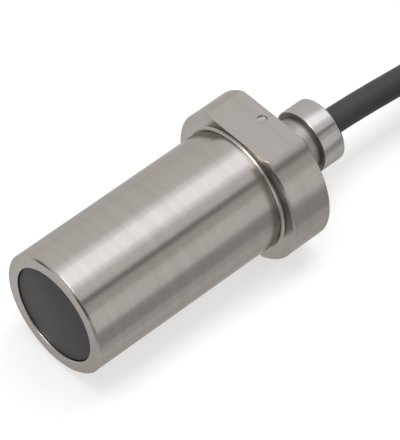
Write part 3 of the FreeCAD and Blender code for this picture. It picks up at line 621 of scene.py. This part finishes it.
def turning_marks():
    """A node group: the fine rings that turning leaves, and straight ones on the milled flats."""
    group = bpy.data.node_groups.new("turning_marks", "ShaderNodeTree")
    group.interface.new_socket("Marks per metre", in_out="INPUT", socket_type="NodeSocketFloat")
    group.interface.new_socket("Flat height", in_out="INPUT", socket_type="NodeSocketFloat")
    group.interface.new_socket("Marks", in_out="OUTPUT", socket_type="NodeSocketFloat")
    group.interface.new_socket("Bands", in_out="OUTPUT", socket_type="NodeSocketFloat")
    inside = group.nodes
    inner_links = group.links
    start = node(inside, "NodeGroupInput")
    end = node(inside, "NodeGroupOutput")
    place = node(inside, "ShaderNodeTexCoord")
    apart = node(inside, "ShaderNodeSeparateXYZ")
    inner_links.new(place.outputs["Object"], apart.inputs[0])

    def sum_of(operation, first, second):
        """One step of the sum, with a link or a number on each side."""
        step = node(inside, "ShaderNodeMath", {"operation": operation})
        for socket, given in zip(step.inputs, (first, second)):
            if isinstance(given, float):
                socket.default_value = given
            else:
                inner_links.new(given, socket)
        return step.outputs[0]

    across = sum_of("MULTIPLY", apart.outputs["Y"], apart.outputs["Y"])
    height = sum_of("ABSOLUTE", apart.outputs["Z"], 0.0)
    on_flat = sum_of("GREATER_THAN", height, start.outputs["Flat height"])
    away = sum_of("SQRT", sum_of("ADD", across, sum_of("MULTIPLY", height, height)), 0.0)
    away = sum_of("MULTIPLY", away, sum_of("SUBTRACT", 1.0, on_flat))
    station = sum_of("ADD", apart.outputs["X"], away)
    for name, share, detail in (("Marks", 1.0, 2.0), ("Bands", 0.11, 3.0)):
        noise = node(inside, "ShaderNodeTexNoise", {"noise_dimensions": "1D"}, Scale=1.0, Detail=detail)
        scaled = sum_of("MULTIPLY", station, start.outputs["Marks per metre"])
        inner_links.new(sum_of("MULTIPLY", scaled, share), noise.inputs["W"])
        inner_links.new(noise.outputs["Fac"], end.inputs[name])
    return group


MARKS = turning_marks()
# Above this height the marks run straight, as on the milled flats.
FLAT_HEIGHT = 14.96 * MM
MARK_DEPTH = 0.0012 * MM
MARK_STRENGTH = 0.22
METAL_SPREAD = 0.015


def turned_metal(name, dark, light, roughness, marks=3600.0):
    """Turned or milled metal: its fine marks stretch the highlights along it."""
    material, nodes, links, shader = new_material(name)
    shader.inputs["Metallic"].default_value = 1.0
    shader.inputs["Specular Tint"].default_value = (0.62, 0.60, 0.58, 1)
    shader.inputs["Anisotropic"].default_value = 0.45
    shader.inputs["Anisotropic Rotation"].default_value = 0.25
    tangent = node(nodes, "ShaderNodeTangent", {"direction_type": "RADIAL", "axis": "X"})
    links.new(tangent.outputs[0], shader.inputs["Tangent"])
    group = node(nodes, "ShaderNodeGroup")
    group.node_tree = MARKS
    group.inputs["Marks per metre"].default_value = marks
    group.inputs["Flat height"].default_value = FLAT_HEIGHT
    tint_by(nodes, links, group.outputs["Bands"], shader.inputs["Base Color"], dark, light)
    shade_by(nodes, links, group.outputs["Marks"], shader.inputs["Roughness"],
             roughness - METAL_SPREAD, roughness + METAL_SPREAD)
    raise_by(nodes, links, group.outputs["Marks"], shader, MARK_DEPTH, MARK_STRENGTH)
    return material


STEEL_DARK = (0.372, 0.343, 0.320)
STEEL_LIGHT = (0.398, 0.369, 0.346)
barrel = turned("barrel", (
    (0, 11.15), (0, 13.5), (0.5, BARREL_RADIUS), (48.88, BARREL_RADIUS), (BARREL_END, 13.88),
    (BARREL_END, BARREL_BORE), (1.2, BARREL_BORE), (1.2, FACE_RADIUS), (0.15, FACE_RADIUS),
), 0.06)
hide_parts("barrel_sleeve")
barrel.data.materials.append(turned_metal("turned_barrel", STEEL_DARK, STEEL_LIGHT, 0.21))

# Sensing cap: a moulded black cup, pushed in from behind against the lip. Its face is fine matt
# and lies a little behind the lip's front.
face = turned("black_face", (
    (0.45, 10.72), (0.52, 10.88), (0.70, 10.97), (1.2, FACE_RADIUS), (1.2, BARREL_BORE),
    (2.4, BARREL_BORE), (2.4, 11.3), (3.9, 11.3), (3.9, BARREL_BORE), (16, BARREL_BORE),
    (16, 11.4), (5, 11.4), (5, 10.5), (2.2, 10.5),
), 0.04, open_ends=True)
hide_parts("sensing_cap")
face.data.materials.append(
    plastic("face_moulding", (0.024, 0.023, 0.023), (0.029, 0.028, 0.028), 0.58, 4200,
            0.012 * MM, 0.4))

# Seals: two black moulded rings of round section, in the grooves of the cap and of the head. They
# are nipped against the inside of the sleeve.
dress(plastic("seal_rubber", (0.012, 0.012, 0.012), (0.020, 0.020, 0.020), 0.62, 2600, 0.01 * MM),
      "cap_seal", "head_seal")

# Sensing coil: a pot core of pressed and fired ferrite, with an enamelled copper winding on its
# moulded bobbin. A drawn brass ring shields it from the steel lip.
dress(plastic("fired_ferrite", (0.045, 0.045, 0.048), (0.062, 0.062, 0.066), 0.70, 3400, 0.02 * MM),
      "pot_core")
dress(plastic("bobbin_moulding", (0.50, 0.47, 0.36), (0.58, 0.55, 0.43), 0.48, 3000, 0.01 * MM),
      "coil_bobbin")
dress(turned_metal("enamelled_copper", (0.42, 0.13, 0.05), (0.56, 0.20, 0.08), 0.30, 5200.0),
      "coil_winding", "coil_leads")
dress(turned_metal("drawn_brass", (0.52, 0.38, 0.15), (0.60, 0.45, 0.20), 0.26), "shield_ring")

# Circuit board: it stands on edge in the moulded carrier behind the core. The laminate is green,
# and its parts are soldered to both sides.
dress(plastic("carrier_moulding", (0.030, 0.030, 0.034), (0.040, 0.040, 0.045), 0.52, 3200, 0.01 * MM),
      "core_carrier")
dress(plastic("green_laminate", (0.006, 0.060, 0.022), (0.010, 0.080, 0.032), 0.32, 1500, 0.004 * MM),
      "circuit_board")
dress(plastic("chip_moulding", (0.012, 0.012, 0.013), (0.018, 0.018, 0.020), 0.50, 9000, 0.006 * MM),
      "oscillator_chip", "output_transistor", "protection_diodes")
dress(plastic("tantalum_case", (0.50, 0.27, 0.03), (0.60, 0.34, 0.05), 0.36, 5000, 0.006 * MM),
      "tantalum_capacitor")
dress(plastic("fired_ceramic", (0.30, 0.19, 0.10), (0.38, 0.25, 0.14), 0.40, 9000, 0.004 * MM),
      "chip_capacitors")
dress(plastic("resistor_glaze", (0.010, 0.010, 0.010), (0.020, 0.020, 0.020), 0.28, 9000, 0.004 * MM),
      "chip_resistors")

# Resin fill: dark cast resin. It is poured in through the rear and holds the coil, the board and
# the wires in one block.
dress(plastic("cast_resin", (0.016, 0.012, 0.008), (0.028, 0.022, 0.015), 0.30, 900, 0.01 * MM, 0.6),
      "resin_fill")

# Sensor head: one turned piece with a spigot in the sleeve, a collar with two milled flats and a
# narrow neck. A drilled dimple on the upper flat marks its position. The neck's steel is painted a
# little darker than the collar's, as painted shade, and is rougher. Its last stretch, and the front
# ring of the clamp cap behind it, are painted much darker, as painted shade in the hollow between
# the collar and the cap.
FLATS = 30.0
DIMPLE_PLACE = Vector((57.5, 0.5, 15.0)) * MM
DIMPLE_RADIUS = 1.1 * MM
DIMPLE_WALL = 0.50 * MM
DIMPLE_DISH = 0.06 * MM
DIMPLE_INSET = 0.45 * MM
RING_START = 49.4
COLLAR_FRONT = 50.0
COLLAR_REAR = 60
COLLAR_RADIUS = 17.5
FRONT_BREAK = 0.45
REAR_BREAK = 0.25
ROOT_ROUND = 0.55
NECK_RADIUS = 6
# Painted shade: the neck's steel colours are a little darker than the collar's, though it is the same
# piece.
SHADED_NECK_DARK = (0.330, 0.304, 0.283)
SHADED_NECK_LIGHT = (0.352, 0.326, 0.305)
# Painted shade: from this station on, the neck's steel is much darker, and so is the clamp cap's front
# ring. This stands in for the dark hollow between the collar and the cap.
PAINTED_SHADE_START = 67.6
PAINTED_SHADE_DARK = (0.205, 0.190, 0.172)
PAINTED_SHADE_LIGHT = (0.235, 0.220, 0.202)
CAP_FRONT = 68.3
CAP_BORE = 5.4
PASSAGE_RADIUS = 3
SEAT_RADIUS = 4.4
SEAT_FRONT = 62
SEAT_REAR = 72

head_corners = [
    (42.5, 10.5), (42.5, BARREL_BORE), (44.8, BARREL_BORE), (44.8, 11.3), (46.4, 11.3),
    (46.4, BARREL_BORE), (BARREL_END, BARREL_BORE), (BARREL_END, 13.6), (RING_START, 13.6),
    (RING_START, BARREL_RADIUS),
]
for degrees in (0, 22.5, 45, 67.5, 90):
    turn = math.radians(degrees)
    head_corners.append((COLLAR_FRONT - ROOT_ROUND * (1 - math.sin(turn)),
                         BARREL_RADIUS + ROOT_ROUND * (1 - math.cos(turn))))
head_corners += [
    (COLLAR_FRONT, COLLAR_RADIUS - FRONT_BREAK), (COLLAR_FRONT + FRONT_BREAK, COLLAR_RADIUS),
    (COLLAR_REAR - REAR_BREAK, COLLAR_RADIUS), (COLLAR_REAR, COLLAR_RADIUS - REAR_BREAK),
    (COLLAR_REAR, NECK_RADIUS), (PAINTED_SHADE_START, NECK_RADIUS), (CAP_FRONT, NECK_RADIUS),
    (CAP_FRONT, CAP_BORE), (SEAT_REAR, CAP_BORE), (SEAT_REAR, SEAT_RADIUS),
    (SEAT_FRONT, SEAT_RADIUS), (SEAT_FRONT, PASSAGE_RADIUS), (54, PASSAGE_RADIUS), (54, 10.5),
]
head = turned("head", head_corners, 0)
bpy.ops.object.mode_set(mode="EDIT")
for side in (1, -1):
    bpy.ops.mesh.select_all(action="SELECT")
    bpy.ops.mesh.bisect(plane_co=(0, 0, side * FLATS / 2 * MM), plane_no=(0, 0, side),
                        use_fill=True, clear_outer=True)
bpy.ops.object.mode_set(mode="OBJECT")
bpy.ops.object.select_all(action="DESELECT")
bpy.ops.mesh.primitive_cylinder_add(
    vertices=48, radius=DIMPLE_RADIUS, depth=2 * DIMPLE_WALL, location=DIMPLE_PLACE)
drill = begin("drill")
bpy.ops.object.mode_set(mode="EDIT")
bpy.ops.mesh.select_mode(type="FACE")
bpy.ops.mesh.select_all(action="DESELECT")
bpy.ops.object.mode_set(mode="OBJECT")
for side_face in drill.data.polygons:
    side_face.select = side_face.normal.z < -0.9
bpy.ops.object.mode_set(mode="EDIT")
for share in (0.7, 0.3):
    bpy.ops.mesh.inset(thickness=DIMPLE_INSET, depth=share * DIMPLE_DISH)
bpy.ops.mesh.select_mode(type="VERT")
bpy.ops.object.mode_set(mode="OBJECT")
bpy.ops.object.select_all(action="DESELECT")
head.select_set(True)
bpy.context.view_layer.objects.active = head
cut = head.modifiers.new("dimple", "BOOLEAN")
cut.operation = "DIFFERENCE"
cut.object = drill
bpy.ops.object.modifier_apply(modifier="dimple")
bpy.data.objects.remove(drill)
round_edges(head, 0.06 * MM, segments=4, angle=34, smooth=26)
even = head.modifiers.new("even", "WEIGHTED_NORMAL")
even.keep_sharp = True
even.weight = 100
bpy.ops.object.modifier_apply(modifier="even")
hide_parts("sensor_head")
head.data.materials.append(turned_metal("turned_head", STEEL_DARK, STEEL_LIGHT, 0.22))
# The neck takes a darker copy of the head's steel, as painted shade, with a rougher finish.
head.data.materials.append(turned_metal("shaded_neck_steel", SHADED_NECK_DARK, SHADED_NECK_LIGHT, 0.50))
painted_shade_metal = turned_metal("painted_shade_metal", PAINTED_SHADE_DARK, PAINTED_SHADE_LIGHT, 0.50)
head.data.materials.append(painted_shade_metal)
# Faces on the neck take its darker steel, and those on its last stretch take the darkest: both are
# painted shade.
for face_side in head.data.polygons:
    middle = face_side.center
    near_axis = math.hypot(middle.y, middle.z) < (NECK_RADIUS + 0.05) * MM
    if near_axis and middle.x > (COLLAR_REAR + 0.1) * MM:
        face_side.material_index = 2 if middle.x > PAINTED_SHADE_START * MM else 1

# Cable entry: a black rubber grommet and a stamped washer lie behind the neck. The three cores run
# through them from the board to the jacket's end.
dress(plastic("grommet_rubber", (0.014, 0.014, 0.014), (0.022, 0.022, 0.022), 0.60, 2600,
              0.01 * MM), "cable_grommet")
dress(turned_metal("stamped_washer", (0.40, 0.39, 0.38), (0.46, 0.45, 0.44), 0.30), "clamp_washer")
for colour, core_material in core_colours.items():
    dress(core_material, "inner_wire_" + colour)

# Cable clamp cap: a round stainless cap pressed on the neck's end. Its rear edge is rounded, and
# the cable comes out of its middle.
CAP_END = 74
CAP_RADIUS = 7.35
CAP_BREAK = 0.15
CAP_ROUND = 0.45
cap_corners = [(CAP_FRONT, CAP_BORE), (CAP_FRONT, CAP_RADIUS - CAP_BREAK),
               (CAP_FRONT + CAP_BREAK, CAP_RADIUS)]
for degrees in (0, 30, 60, 90):
    turn = math.radians(degrees)
    cap_corners.append((CAP_END - CAP_ROUND * (1 - math.sin(turn)),
                        CAP_RADIUS - CAP_ROUND * (1 - math.cos(turn))))
cap_corners += [(CAP_END, PASSAGE_RADIUS), (SEAT_REAR, PASSAGE_RADIUS), (SEAT_REAR, CAP_BORE)]
clamp = turned("clamp", cap_corners, 0.05)
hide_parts("cable_clamp_cap")
clamp.data.materials.append(
    turned_metal("turned_clamp", (0.400, 0.382, 0.366), (0.426, 0.408, 0.392), 0.21))
# The clamp cap's front ring takes the same painted shade, much darker than its steel, for the hollow in
# front of it.
clamp.data.materials.append(painted_shade_metal)
for face_side in clamp.data.polygons:
    if face_side.normal.x < -0.9:
        face_side.material_index = 1
